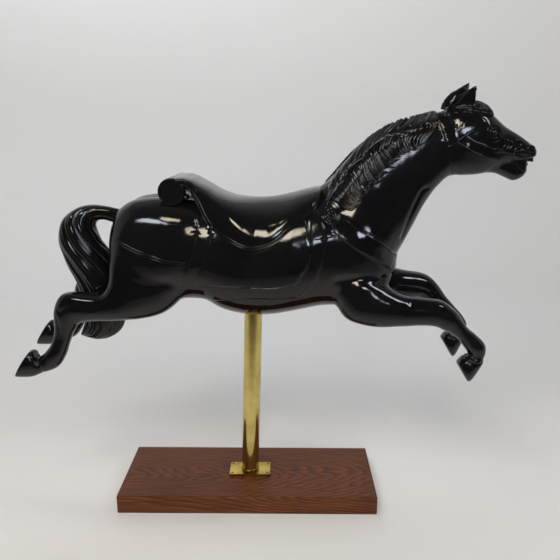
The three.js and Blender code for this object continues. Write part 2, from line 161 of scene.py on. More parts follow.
def rounded_slab(low, high, radius, rows):
    """A slab with rounded arrises: rows across each of its three sides."""
    low, high = np.array(low), np.array(high)
    points, faces = [], []
    for axis in range(3):
        a, b = [k for k in range(3) if k != axis]
        for side in (0, 1):
            na, nb = rows[a], rows[b]
            start = len(points)
            for i in range(na + 1):
                for j in range(nb + 1):
                    p = np.zeros(3)
                    p[a] = low[a] + (high[a] - low[a]) * i / na
                    p[b] = low[b] + (high[b] - low[b]) * j / nb
                    p[axis] = high[axis] if side else low[axis]
                    points.append(p)
            for i in range(na):
                for j in range(nb):
                    q = [start + i * (nb + 1) + j, start + (i + 1) * (nb + 1) + j,
                         start + (i + 1) * (nb + 1) + j + 1, start + i * (nb + 1) + j + 1]
                    faces.append(q if (side == 1) != (axis == 1) else q[::-1])
    points = np.array(points)
    core = np.clip(points, low + radius, high - radius)
    out = points - core
    reach = np.linalg.norm(out, axis=1, keepdims=True)
    points = np.where(reach > 1e-9, core + out / np.maximum(reach, 1e-9) * radius, points)
    return points, faces


low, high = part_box("board")
points, faces = rounded_slab(low, high, ARRIS, (160, 60, 14))
# The front arris is worn a little unevenly.
wear = 0.35 * MM * np.sin(points[:, 0] * 61) * np.sin(points[:, 0] * 143 + 1.3)
on_front_top = (points[:, 1] < low[1] + 3 * MM) & (points[:, 2] > high[2] - 3 * MM)
points[:, 2] -= np.where(on_front_top, np.abs(wear), 0)
board = piece("board_plank", points, faces, stained_oak())
board.modifiers.new("weld", "WELD").merge_threshold = 0.01 * MM
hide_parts("board")
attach(board, "root")

# ---- Foot plate and its screws --------------------------------------------------------------
# A strip of 6 mm rolled brass with its corners knocked off, held by four slotted countersunk
# brass screws. It has been polished with the pole, and is dull where the cloth can't reach.
BROKEN_EDGE = 0.35 * MM


def polished_brass(name, shine, lines_along, dull, dull_rough):
    """Brass rubbed with metal polish: warm yellow, fine drawing lines, brown in scattered patches."""
    material, tree, shader, place = finish_of(name)
    # The lines run 170 mm along one axis. Real ones are finer than a tenth of a millimetre, and
    # these are drawn 1.1 mm across, as coarse as they need to be to show.
    scale = [900.0, 900.0, 900.0]
    scale[lines_along] = 6.0
    lines = add(tree, "ShaderNodeTexNoise", {"Vector": add(
        tree, "ShaderNodeMapping", {"Vector": place, "Scale": scale}).outputs[0],
        "Scale": 1.0, "Detail": 2.0}).outputs["Fac"]
    # Tarnish comes back in patches of about 40 mm.
    tarnish = add(tree, "ShaderNodeTexNoise", {"Vector": place, "Scale": 26.0, "Detail": 4.0,
                                               "Roughness": 0.6}).outputs["Fac"]
    tree.links.new(ramp(tree, tarnish, [(0.32, dull), (0.58, shine)]), shader.inputs["Base Color"])
    shader.inputs["Metallic"].default_value = 1.0
    rough = add(tree, "ShaderNodeMapRange", {"Value": tarnish, "From Min": 0.3, "From Max": 0.7,
                                             "To Min": dull_rough, "To Max": 0.12})
    tree.links.new(rough.outputs[0], shader.inputs["Roughness"])
    bump = add(tree, "ShaderNodeBump", {"Height": lines, "Strength": 0.15, "Distance": 0.0002})
    tree.links.new(bump.outputs[0], shader.inputs["Normal"])
    return material


plate_brass = polished_brass("dull_plate_brass", "#cbb262", 0, "#9c8244", 0.26)
# The screws are given a much darker brass than the plate.
screw_brass = polished_brass("dark_screw_brass", "#7d6430", 0, "#4f3f20", 0.45)
for name in ["plate"] + [f"screw_{i}" for i in range(1, 5)]:
    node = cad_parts[name]
    node.data.materials.clear()
    node.data.materials.append(plate_brass if name == "plate" else screw_brass)
    bevel = node.modifiers.new("edge", "BEVEL")
    bevel.width = BROKEN_EDGE
    bevel.segments = 2
    bevel.limit_method = "ANGLE"
    bevel.angle_limit = math.radians(40)

# ---- Pole -----------------------------------------------------------------------------------
# Drawn brass tube 1 1/2 inch across, brazed upright on the plate, leaning a little towards the
# head, and let into the belly. Bright from handling, with lengthwise drawing lines.
LEAN = math.radians(1.6)
POLE_RADIUS = 19.05 * MM
BRAZE = 1.6 * MM


def between(rings, around):
    """The numbers of rings of points, and the four-cornered faces from each ring to the next."""
    index = np.arange(rings * around).reshape(rings, around)
    nxt = np.roll(index, -1, axis=1)
    return index, np.stack([index[:-1], nxt[:-1], nxt[1:], index[1:]], axis=2).reshape(-1, 4).tolist()


pole_low, pole_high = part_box("pole")
foot_x, foot_z = 2 * MM, pole_low[2]
rings, around = 60, 96
points = []
for r in range(rings + 1):
    rise = (pole_high[2] - foot_z - 0.6 * MM) * r / rings
    # A shallow braze fillet at the foot, and hammer flats too small to see but for their shine.
    flare = BRAZE * math.exp(-rise / (2.2 * MM))
    for k in range(around):
        a = 2 * math.pi * k / around
        radius = POLE_RADIUS + flare + 0.03 * MM * math.sin(3 * a + rise * 40) * math.sin(rise * 23)
        x = radius * math.cos(a) / math.cos(LEAN)
        points.append((foot_x + x + rise * math.tan(LEAN), radius * math.sin(a), foot_z + rise))
index, faces = between(rings + 1, around)
faces += [index[0].tolist()[::-1], index[-1].tolist()]
drawn_brass = polished_brass("drawn_pole_brass", "#d2bf74", 2, "#b8a45c", 0.17)
pole = piece("pole_tube", points, faces, drawn_brass)
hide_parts("pole")
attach(pole, "root")

# ---- Horse: the carved block ----------------------------------------------------------------
# Glued-up softwood, roughed out and carved in the round, filled, sanded and sprayed with black
# lacquer, then polished. Barrel, quarters, neck, head and legs are one flowing surface.


def eased(rows, u):
    """Rows of numbers eased through, at the places u."""
    rows = np.array(rows, float)
    last = len(rows) - 1
    i = np.minimum(u.astype(int), last - 1)
    f = (u - i)[:, None]
    a, b, c, d = (rows[np.clip(i + k, 0, last)] for k in (-1, 0, 1, 2))
    into, out = (c - a) / 2, (d - b) / 2
    return b + f * (into + f * (3 * (c - b) - 2 * into - out + f * (into + out - 2 * (c - b))))


def power(v, p):
    """A power that keeps the sign, for rounded squares."""
    return np.sign(v) * np.abs(v) ** p


def form(cuts, around, steps, square=2.0, egg=0.0, relief=None):
    """A closed skin through cuts: [upper x, upper z, lower x, lower z, half width, centre y]."""
    rings = (len(cuts) - 1) * steps + 1
    u = np.linspace(0, len(cuts) - 1, rings)
    ax, az, bx, bz, half, y = (column[:, None] for column in eased(cuts, u).T)
    angle = np.linspace(0, 2 * math.pi, around, endpoint=False)[None, :]
    square = np.interp(u, np.linspace(0, len(cuts) - 1, np.size(square)), np.ravel(square))[:, None]
    up, out = power(np.cos(angle), 2 / square), power(np.sin(angle), 2 / square)
    length = np.hypot(ax - bx, az - bz)
    lift = relief(u[:, None] / (len(cuts) - 1), angle) if relief else 0
    reach = (length / 2 + lift) * up / length
    points = np.stack([(ax + bx) / 2 + reach * (ax - bx),
                       y + out * (half * (1 + egg * up) + lift),
                       (az + bz) / 2 + reach * (az - bz)], axis=2).reshape(-1, 3)
    ends = [points[:around].mean(0), points[-around:].mean(0)]
    index, faces = between(rings, around)
    tip = rings * around
    faces += [(tip, index[0, (k + 1) % around], index[0, k]) for k in range(around)]
    faces += [(tip + 1, index[-1, k], index[-1, (k + 1) % around]) for k in range(around)]
    return np.vstack([points, ends]) * MM, faces


def gathered(parts):
    """Several (points, faces) as one."""
    points, faces, start = [], [], 0
    for p, f in parts:
        points.append(p)
        faces += [[start + k for k in face] for face in f]
        start += len(p)
    return np.vstack(points), faces


def upright(rows):
    """Cuts that stand upright, from rows of [x, top, bottom, half width]."""
    return [[x, top, x, bottom, half, 0] for x, top, bottom, half in rows]


TRUNK = upright([
    [-274, 598, 510, 38], [-271, 616, 494, 60], [-264, 636, 482, 76], [-250, 657, 468, 90],
    [-227, 673, 456, 101], [-195, 680, 450, 107], [-160, 681, 452, 108], [-120, 676, 462, 107],
    [-85, 671, 458, 105], [-50, 666, 438, 105], [0, 664, 426, 106], [50, 664, 426, 106],
    [100, 668, 434, 103], [150, 676, 444, 98], [195, 676, 446, 92], [235, 655, 448, 84],
    [268, 625, 456, 72], [292, 596, 474, 54], [304, 570, 500, 32], [307, 556, 520, 16]])
NECK_SQUARE = [2, 2.1, 2.2, 2.4, 2.6, 2.6, 2.6, 2.5, 2.3]
NECK = [
    [106, 662, 250, 470, 88, 0], [142, 686, 285, 510, 82, 0], [174, 711, 306, 548, 74, 0],
    [205, 748, 326, 588, 62, 0], [246, 783, 343, 621, 53, 0], [290, 808, 361, 658, 47, 0],
    [338, 826, 382, 690, 43, 0], [380, 838, 405, 712, 40, 0], [402, 842, 424, 716, 38, 0]]
HEAD = [
    [380, 826, 400, 735, 26, 0], [400, 846, 420, 716, 37, 0], [436, 853, 446, 715, 41, 0],
    [466, 848, 474, 718, 41, 0], [490, 829, 494, 726, 36, 0], [512, 811, 514, 735, 29, 0],
    [538, 796, 536, 742, 25, 0], [560, 781, 556, 746, 24, 0], [574, 770, 570, 748, 21, 0],
    [579, 762, 577, 753, 10, 0]]
JAW = [
    [476, 750, 474, 719, 22, 0], [500, 748, 498, 719, 20, 0], [520, 745, 520, 711, 18, 0],
    [537, 741, 538, 704, 17, 0], [552, 738, 554, 710, 15, 0], [563, 733, 563, 720, 9, 0]]
NEAR_HIND = [
    [-150, 640, -96, 530, 36, -58], [-205, 640, -118, 486, 41, -60], [-248, 606, -142, 458, 42, -61],
    [-267, 556, -172, 440, 41, -63], [-272, 514, -212, 431, 38, -66], [-284, 488, -256, 429, 33, -70],
    [-306, 484, -300, 427, 28, -71], [-346, 487, -324, 425, 26, -71], [-371, 480, -338, 420, 24, -71],
    [-386, 453, -346, 408, 21, -70], [-389, 420, -352, 400, 18, -70], [-392, 397, -358, 386, 17, -69],
    [-401, 374, -364, 371, 18, -69], [-414, 358, -372, 350, 20, -69], [-424, 349, -390, 325, 19, -69],
    [-432, 346, -422, 313, 19, -69], [-436, 360, -446, 304, 24, -69], [-446, 361, -481, 304, 26, -69]]
NEAR_FORE = [
    [205, 560, 165, 500, 26, -50], [245, 538, 182, 460, 33, -55], [278, 508, 205, 430, 35, -60],
    [297, 493, 258, 416, 32, -66], [323, 481, 313, 418, 27, -70], [361, 477, 358, 421, 25, -72],
    [394, 472, 383, 419, 25, -72], [417, 457, 398, 412, 23, -72], [433, 440, 411, 406, 19, -72],
    [449, 417, 429, 394, 17, -72], [467, 402, 440, 381, 18, -72], [487, 382, 448, 370, 20, -72],
    [490, 362, 455, 360, 18, -72], [486, 350, 458, 354, 17, -72], [486, 341, 449, 356, 22, -72],
    [466, 306, 436, 343, 26, -72], [457, 299, 434, 338, 24, -72]]
FAR_FORE = [
    [205, 560, 165, 500, 26, 50], [255, 548, 190, 466, 33, 55], [292, 520, 240, 440, 35, 62],
    [337, 502, 322, 432, 30, 72], [382, 494, 374, 438, 26, 75], [405, 484, 393, 431, 25, 75],
    [424, 465, 406, 426, 22, 75], [442, 440, 420, 414, 18, 75], [461, 419, 437, 398, 17, 75],
    [482, 396, 453, 375, 19, 75], [494, 374, 458, 362, 19, 75], [488, 352, 460, 354, 17, 75],
    [488, 338, 451, 359, 22, 75], [473, 303, 439, 345, 26, 75], [465, 295, 437, 341, 24, 75]]
GUMS = [
    [512, 752, 512, 734, 13, 0], [535, 753, 533, 728, 16, 0], [550, 754, 547, 720, 15.5, 0],
    [560, 750, 556, 717, 13.5, 0], [565, 747, 559, 724, 8, 0]]


def smoothstep(v, a, b):
    """From 0 at a to 1 at b, flat at both ends."""
    t = np.clip((v - a) / (b - a), 0, 1)
    return t * t * (3 - 2 * t)


HIND_BACK, HIND_UP = 10, 19
FURROW = 13


def far_hind():
    """The far hind leg reaches a little higher and further back than the near one."""
    rows = []
    for i, (ax, az, bx, bz, half, y) in enumerate(NEAR_HIND):
        t = float(smoothstep(i, 3, len(NEAR_HIND) - 2))
        back, up = HIND_BACK * t, HIND_UP * t
        rows.append([ax - back, az + up, bx - back, bz + up, half, -y * (1 + 0.05 * t)])
    return rows


def cleft(t, angle):
    """The furrow between the two halves of the croup."""
    side = np.arctan2(np.sin(angle), np.cos(angle)) / math.radians(26)
    return -FURROW * smoothstep(0.55 - t, 0, 0.25) * np.exp(-side * side * 3)


def ear(side, shift):
    """A cupped leaf standing up from the poll: its hollow faces out from the head on that side."""
    cuts = [[384, 832, 436, 832, 13, 20], [391, 850, 442, 854, 15, 24], [400, 862, 443, 866, 13, 26],
            [415, 872, 444, 876, 10, 27], [429, 880, 444, 883, 6, 28], [440, 887, 442.5, 887, 2, 29]]
    rows = eased(cuts, np.linspace(0, len(cuts) - 1, 31))
    around = 40
    points = []
    for ax, az, bx, bz, cup, y in rows:
        wide = math.hypot(bx - ax, bz - az)
        for k in range(around):
            a = 2 * math.pi * k / around
            v = math.cos(a)
            # The rims stand out by the depth of the cup, and the back is rounded.
            thick = min(3.2, 0.16 * wide + 1.2) * math.sin(a)
            fold = cup * (v * v - 0.45) * (0.9 if v > 0 else 1.0) + thick
            points.append([(ax + bx) / 2 - v * (bx - ax) / 2 + shift[0], side * (y + fold),
                           (az + bz) / 2 - v * (bz - az) / 2 + shift[1]])
    index, faces = between(len(rows), around)
    faces += [index[0].tolist()[::-1], index[-1].tolist()]
    return np.array(points) * MM, faces


def mesh_arrays(made):
    """The points, and the corners of each face, of an object after its modifiers."""
    shown = made.evaluated_get(bpy.context.evaluated_depsgraph_get())
    mesh = shown.to_mesh()
    points = np.empty(len(mesh.vertices) * 3)
    mesh.vertices.foreach_get("co", points)
    faces = [tuple(p.vertices) for p in mesh.polygons]
    edges = np.empty(len(mesh.edges) * 2, int)
    mesh.edges.foreach_get("vertices", edges)
    shown.to_mesh_clear()
    return points.reshape(-1, 3), faces, edges.reshape(-1, 2)


def relaxed(points, edges, weight, rounds):
    """Each point moved towards the middle of its neighbours, by its weight, some rounds."""
    count = np.bincount(edges.ravel(), minlength=len(points))[:, None]
    for _ in range(rounds):
        total = np.stack([
            np.bincount(edges[:, 0], points[edges[:, 1], k], len(points))
            + np.bincount(edges[:, 1], points[edges[:, 0], k], len(points)) for k in range(3)], axis=1)
        points = points + weight[:, None] * (total / count - points)
    return points


def black_lacquer():
    """Sprayed and polished lacquer: deep black, wet gloss, a faint polishing haze."""
    material, tree, shader, place = finish_of("black_lacquer")
    # The polishing haze comes and goes over about 110 mm.
    haze = add(tree, "ShaderNodeTexNoise", {"Vector": place, "Scale": 9.0, "Detail": 5.0,
                                            "Roughness": 0.65}).outputs["Fac"]
    tree.links.new(ramp(tree, haze, [(0.35, "#08080a"), (0.65, "#101012")]), shader.inputs["Base Color"])
    rough = add(tree, "ShaderNodeMapRange", {"Value": haze, "From Min": 0.35, "From Max": 0.7,
                                             "To Min": 0.05, "To Max": 0.11})
    tree.links.new(rough.outputs[0], shader.inputs["Roughness"])
    shader.inputs["IOR"].default_value = 1.46
    # The sprayed coat is left a little wavy, with about 18 mm from wave to wave.
    ripple = add(tree, "ShaderNodeTexNoise", {"Vector": place, "Scale": 55.0,
                                              "Detail": 2.0}).outputs["Fac"]
    bump = add(tree, "ShaderNodeBump", {"Height": ripple, "Strength": 0.12, "Distance": 0.001})
    tree.links.new(bump.outputs[0], shader.inputs["Normal"])
    return material


lacquer = black_lacquer()
VOXEL = 2.0
rough_out = piece("rough_out", *gathered([
    form(TRUNK, 96, 6, 2.25, relief=cleft), form(NECK, 96, 8, NECK_SQUARE, egg=-0.08),
    form(HEAD, 64, 8, 2.3), form(JAW, 40, 8), form(NEAR_HIND, 48, 8, 2.3), form(far_hind(), 48, 8, 2.3),
    form(NEAR_FORE, 48, 8, 2.3), form(FAR_FORE, 48, 8, 2.3), ear(-1, (0, 0)), ear(1, (3, 9)),
    form(GUMS, 32, 6)]), lacquer)
remesh = rough_out.modifiers.new("block", "REMESH")
remesh.mode = "VOXEL"
remesh.voxel_size = VOXEL * MM
body, body_faces, body_edges = mesh_arrays(rough_out)
bpy.data.objects.remove(rough_out)

# The knife leaves soft hollows where the limbs leave the body: [x, y, z, reach], on both sides.
BLENDS = [[290, 60, 500, 42], [190, 62, 455, 34], [225, 85, 480, 30], [-126, 66, 470, 40],
          [-270, 66, 500, 30], [-230, 66, 440, 34], [302, 0, 560, 48], [150, 40, 680, 46],
          [200, 60, 640, 60], [418, 20, 722, 26], [400, 0, 842, 20], [500, 0, 735, 20],
          [300, 40, 450, 34], [250, 60, 600, 60]]
# How strongly each place is sanded towards its neighbours, and how many times.
PLAIN, HOLLOW, EAR_TIP = 0.12, 0.75, 0.08
SANDINGS = 60
weight = np.full(len(body), PLAIN)
for x, y, z, reach in BLENDS:
    for side in (-1, 1):
        away = np.linalg.norm(body - np.array([x, side * y, z]) * MM, axis=1) / (reach * MM)
        weight = np.maximum(weight, HOLLOW * np.clip(1.3 - away, 0, 1))
fine = np.linalg.norm(body - np.array([430, 0, 870]) * MM, axis=1) < 60 * MM
weight[fine & (body[:, 2] > 850 * MM)] = EAR_TIP
body = relaxed(body, body_edges, weight, SANDINGS)
block = piece("block", body, body_faces, lacquer)

# ---- Horse: harness carved in low relief ------------------------------------------------------
# Saddle cloth, flaps, breast strap and bridle are cut a few millimetres proud of the block they
# lie on. Grooves of muscle, the crease of the croup and the hoofs' coronets are cut into it.
# Most outlines and lines here are [x, z] places in mm, seen from the side.


def drawn(points, per=8, closed=False):
    """A smooth line through a few points."""
    p = np.array(points, float)
    if not closed:
        return eased(p, np.linspace(0, len(p) - 1, (len(p) - 1) * per + 1))
    ring = np.vstack([p[-2:], p, p[:3]])
    return eased(ring, np.linspace(2, len(p) + 2, len(p) * per + 1))[:-1]


def line_distance(x, z, line, closed=False):
    """How far each place is from a line of [x, z] points, in mm."""
    a, b = line, np.roll(line, -1, axis=0)
    if not closed:
        a, b = a[:-1], b[:-1]
    nearest = np.full(len(x), 1e9)
    for (ax, az), (bx, bz) in zip(a, b):
        dx, dz = bx - ax, bz - az
        t = np.clip(((x - ax) * dx + (z - az) * dz) / max(dx * dx + dz * dz, 1e-9), 0, 1)
        nearest = np.minimum(nearest, np.hypot(x - ax - t * dx, z - az - t * dz))
    return nearest


def inside(x, z, outline):
    """Depth inside an outline of [x, z] points, in mm, negative outside."""
    odd = np.zeros(len(x), bool)
    for (ax, az), (bx, bz) in zip(outline, np.roll(outline, -1, axis=0)):
        odd ^= ((az > z) != (bz > z)) & (x < (bx - ax) * (z - az) / (bz - az + 1e-12) + ax)
    return np.where(odd, 1, -1) * line_distance(x, z, outline, closed=True)


CLOTH = drawn([[-86, 650], [-88, 618], [-97, 568], [-119, 521], [-127, 474], [-60, 474], [8, 482],
               [97, 482], [122, 496], [138, 520], [152, 560], [155, 600], [148, 640], [100, 690],
               [0, 700]], closed=True)
FLAP = drawn([[-62, 680], [-62, 600], [-68, 574], [-80, 545], [-91, 509], [-40, 507], [45, 504],
              [84, 508], [108, 524], [127, 561], [126, 614], [116, 660], [30, 700]], closed=True)
BREAST_UPPER = [[196, 636], [220, 618], [241, 604], [262, 594], [278, 582], [290, 570], [298, 562]]
BREAST_LOWER = [[172, 614], [200, 592], [221, 576], [245, 562], [274, 544], [291, 533]]
THROAT_BACK = [[386, 789], [390, 777], [394, 764], [401, 742], [409, 722], [412, 715]]
THROAT_FRONT = [[412, 780], [417, 764], [422, 742], [430, 724], [435, 714]]
BROW_UPPER = [[386, 790], [400, 798], [411, 806], [421, 817], [430, 823], [444, 825], [458, 826]]
BROW_LOWER = [[391, 771], [408, 781], [424, 792], [439, 803], [452, 810], [466, 817]]
CROWN_FRONT = [[388, 838], [395, 828], [401, 817], [411, 806]]
CROWN_BACK = [[366, 836], [373, 824], [379, 809], [386, 790]]
RAISED = [(CLOTH, 1.8, 1.2), (FLAP, 3.8, 1.4), (BREAST_UPPER + BREAST_LOWER[::-1], 2.6, 1.2),
          (THROAT_BACK + THROAT_FRONT[::-1], 1.6, 1.0), (BROW_UPPER + BROW_LOWER[::-1], 1.6, 1.0),
          (CROWN_FRONT + CROWN_BACK[::-1], 1.5, 1.0)]
# Cuts into the block, or swellings where the depth is negative: a line, its half width, its depth,
# and the side it is on (0 for both).
CUTS = [([[258, 596], [262, 600]], 42, -8.0, 0), ([[184, 515], [228, 517], [272, 511]], 9, 3.0, 0),
        ([[-235, 520], [-190, 506], [-150, 512]], 12, 2.0, 0),
        ([[359, 692], [348, 686], [336, 661], [324, 630], [312, 596]], 5, 2.6, 0),
        ([[430, 768], [460, 760], [500, 746]], 9, -1.6, 0),
        ([[330, 470], [380, 462], [410, 448]], 6, 1.6, 0),
        ([[-300, 462], [-345, 462], [-368, 450]], 6, 1.8, 0),
        ([[-378, 440], [-374, 400], [-385, 370]], 4, 1.0, 0),
        ([[-434, 356], [-427, 345], [-423, 334], [-420, 324], [-420, 312]], 1.8, 1.6, -1),
        ([[-444, 374], [-437, 363], [-433, 352], [-430, 342], [-430, 330]], 1.8, 1.6, 1),
        ([[437, 362], [447, 354], [458, 347], [470, 344], [480, 347]], 1.8, 1.6, 0)]
# The saw and the filler leave the skin a little uneven: (waves per mm, height in mm).
UNEVEN = [(0.022, 0.32), (0.055, 0.18), (0.14, 0.04)]
CREASE = 7
CHEST_Z, CHEST_HALF, CHEST_LIFT = 540, 16, 2.4
FULL_TRIANGLES, QUICK_TRIANGLES = 192000, 60000


def normals_of(made):
    """The way out at each point of an object's mesh."""
    values = np.empty(len(made.data.vertices) * 3)
    made.data.vertex_normals.foreach_get("vector", values)
    return values.reshape(-1, 3)


x, y, z = body.T / MM
normal = normals_of(block)
lift = np.zeros(len(body))
for outline, height, edge in RAISED:
    outline = np.array(outline, float)
    low_x, low_z = outline.min(0) - 4
    high_x, high_z = outline.max(0) + 4
    near = (x > low_x) & (x < high_x) & (z > low_z) & (z < high_z)
    depth_in = inside(x[near], z[near], outline)
    lift[near] = np.maximum(lift[near], height * smoothstep(depth_in, -edge, edge))
# Cloth and straps also pass over the front of the chest, where the side no longer faces out.
side_on = smoothstep(np.abs(normal[:, 1]), 0.12, 0.45)
lift *= np.where((x > 270) & (x < 330) & (z > 500) & (z < 600), 1, side_on)
chest = (x > 285) & (z > 500) & (z < 590) & (np.abs(y) < 60)
across = smoothstep(CHEST_HALF - np.abs(z[chest] - CHEST_Z), 0, 2.5)
lift[chest] = np.maximum(lift[chest], CHEST_LIFT * across * smoothstep(x[chest], 285, 298))
for line, width, depth, side in CUTS:
    on_side = (y * side >= 0)
    lift[on_side] -= depth * np.exp(-(line_distance(x[on_side], z[on_side], drawn(line)) / width) ** 2)
croup = (x < -150) & (x > -276) & (z > 600)
lift[croup] -= CREASE * np.exp(-(y[croup] / 4.5) ** 2) * smoothstep(x[croup], -276, -262)
waves = np.array([sum(height * noise.noise(Vector((px, py, pz)) * scale) for scale, height in UNEVEN)
                  for px, py, pz in zip(x, y, z)])
carved = body + normal * (lift + waves)[:, None] * MM
block.data.vertices.foreach_set("co", carved.ravel())
block.data.update()


def slimmed(made, name, triangles):
    """A lighter copy of a mesh that keeps the shading of the first, under a new name."""
    count = sum(len(p.vertices) - 2 for p in made.data.polygons)
    fewer = made.modifiers.new("fewer", "DECIMATE")
    fewer.ratio = min(1.0, triangles / count)
    points, faces, _ = mesh_arrays(made)
    light = piece(name, points, faces, lacquer)
    tree = KDTree(len(made.data.vertices))
    for i, vertex in enumerate(made.data.vertices):
        tree.insert(vertex.co, i)
    tree.balance()
    normal = normals_of(made)
    light.data.normals_split_custom_set_from_vertices(
        [normal[tree.find(vertex.co)[1]] for vertex in light.data.vertices])
    bpy.data.objects.remove(made)
    return light


horse = slimmed(block, "horse_body", FULL_TRIANGLES)
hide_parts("horse")
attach(horse, "root")

# ---- Horse: seat and rolled cantle ------------------------------------------------------------
# The seat is carved as a leather pad with a piped welt along its lower edge. Behind, its leather
# rises and rolls over backwards across the horse, and each end of the roll shows the curl.
SEAT = upright([
    [-141, 712, 692, 69], [-130, 714, 694, 70], [-118, 714, 696, 70.5], [-110, 712, 690, 71],
    [-102, 710, 678, 73], [-94, 706, 660, 76], [-86, 702, 632, 80], [-72, 695, 592, 87],
    [-51, 683, 558, 96], [-25, 674, 530, 104], [0, 671, 508, 108], [22, 670, 504, 109],
    [45, 671, 512, 108], [68, 674, 538, 103], [92, 679, 574, 93], [115, 685, 592, 83],
    [136, 690, 622, 70], [150, 692, 668, 48]])
SEAT_SQUARE = [5, 5, 5, 4.6, 4.2, 4, 3.8, 3.5, 3.2, 2.9, 2.4, 2.05, 1.9, 1.85, 1.9, 2.0, 2.2, 2.4]
# The roll's middle and half length, its radius before its edge is rounded, that rounding, and how
# deep its ends are cut back inside the curl.
ROLL_X, ROLL_Z, ROLL_HALF, ROLL_FLAT, ROLL_ROUND, CURL_CUT = -140, 687, 70, 23.5, 3, 7


def roll_form():
    """The roll across the back: a round bar whose ends are cut back inside the curl."""
    bend = np.linspace(0, math.pi / 2, 8)
    radii = np.concatenate([np.linspace(0, ROLL_FLAT, 60), ROLL_FLAT + ROLL_ROUND * np.sin(bend[1:])])
    inward = np.concatenate([np.zeros(60), ROLL_ROUND - ROLL_ROUND * np.cos(bend[1:])])
    around = 144
    points, faces = [], []
    for side in (-1, 1):
        for r, round_off in zip(radii, inward):
            for k in range(around):
                a = 2 * math.pi * k / around
                below = math.degrees((math.pi - a) % (2 * math.pi) - math.pi)
                # The curl is open from 30 degrees above level, forward, round to the underside.
                lip = np.interp(below, [-35, -5, 27, 56, 77, 95], [27, 15, 19, 22.5, 25, 27])
                hollow = float(smoothstep(np.array(r), lip - 0.8, lip + 0.8)) * float(
                    smoothstep(np.array(r), 25.2, 24.2))
                end = side * (ROLL_HALF - round_off - CURL_CUT * hollow)
                points.append([ROLL_X - r * math.cos(a), end, ROLL_Z + r * math.sin(a)])
    rings = len(radii)
    index = np.arange(2 * rings * around).reshape(2 * rings, around)
    rows = list(range(rings)) + list(range(2 * rings - 1, rings - 1, -1))
    for a, b in zip(rows[:-1], rows[1:]):
        for k in range(around):
            n = (k + 1) % around
            faces.append((index[a, k], index[a, n], index[b, n], index[b, k]))
    return np.array(points) * MM, faces


def strand(path, radius, flat, pieces, sides=10, height=1.0, point=0.15, root=0.5):
    """A tapered roll along a path in metres; flat gives the way that its height stands."""
    u = np.linspace(0, len(path) - 1, pieces + 1)
    line = eased(path, u)
    along = np.gradient(line, axis=0)
    along /= np.linalg.norm(along, axis=1, keepdims=True) + 1e-12
    stand = eased(flat, u)
    stand = stand - along * (stand * along).sum(1, keepdims=True)
    stand /= np.linalg.norm(stand, axis=1, keepdims=True) + 1e-12
    across = np.cross(along, stand)
    t = np.linspace(0, 1, pieces + 1)
    start = root + (1 - root) * smoothstep(t, 0, 0.22)
    size = radius * MM * start * (point + (1 - point) * (1 - t ** 3.2))
    a = np.linspace(0, 2 * math.pi, sides, endpoint=False)
    ring = (np.cos(a)[None, :, None] * across[:, None, :]
            + height * np.sin(a)[None, :, None] * stand[:, None, :]) * size[:, None, None]
    points = (line[:, None, :] + ring).reshape(-1, 3)
    index, faces = between(len(line), sides)
    faces += [index[0].tolist()[::-1], index[-1].tolist()]
    return points, faces


seat_form = form(SEAT, 144, 10, SEAT_SQUARE)
REACH_IN = 0.4  # metres from the middle plane, well clear of the widest part
skin = BVHTree.FromPolygons(list(map(tuple, carved)), body_faces)
pad = BVHTree.FromPolygons(list(map(tuple, seat_form[0])), seat_form[1])


def on_skin(x, z, side, lift=0.0):
    """The place on the carving seen from that side at x, z in mm, and the way out of it."""
    seen = []
    for tree in (skin, pad):
        spot, out, _, far = tree.ray_cast(Vector((x * MM, side * REACH_IN, z * MM)),
                                          Vector((0, -side, 0)))
        if spot is not None:
            seen.append((far, spot, out))
    if not seen:
        spot, out, _, far = skin.find_nearest(Vector((x * MM, side * 6 * MM, z * MM)))
        seen.append((far, spot, out))
    _, spot, out = min(seen, key=lambda one: one[0])
    return np.array(spot) + np.array(out) * lift * MM, np.array(out)


def split(spots):
    """The places and the ways out of a list of on_skin's answers."""
    return np.array([place for place, _ in spots]), np.array([out for _, out in spots])


def laid(points, side, radius, lift=0.0, **shape):
    """A roll laid on the block along a line of [x, z] points, or round it through [x, y, z]."""
    spots = []
    for place in drawn(points, 4):
        if len(place) == 2:
            spots.append(on_skin(*place, side, lift))
        else:
            spot, out, _, _ = skin.find_nearest(Vector(place * [1, side, 1]) * MM)
            spots.append((np.array(spot) + np.array(out) * lift * MM, np.array(out)))
    path, out = split(spots)
    for _ in range(2):
        path[1:-1] = (path[:-2] + 2 * path[1:-1] + path[2:]) / 4
    return strand(path, radius, flat=out, pieces=len(path) * 2, **shape)


even = {"point": 0.75, "root": 0.75}
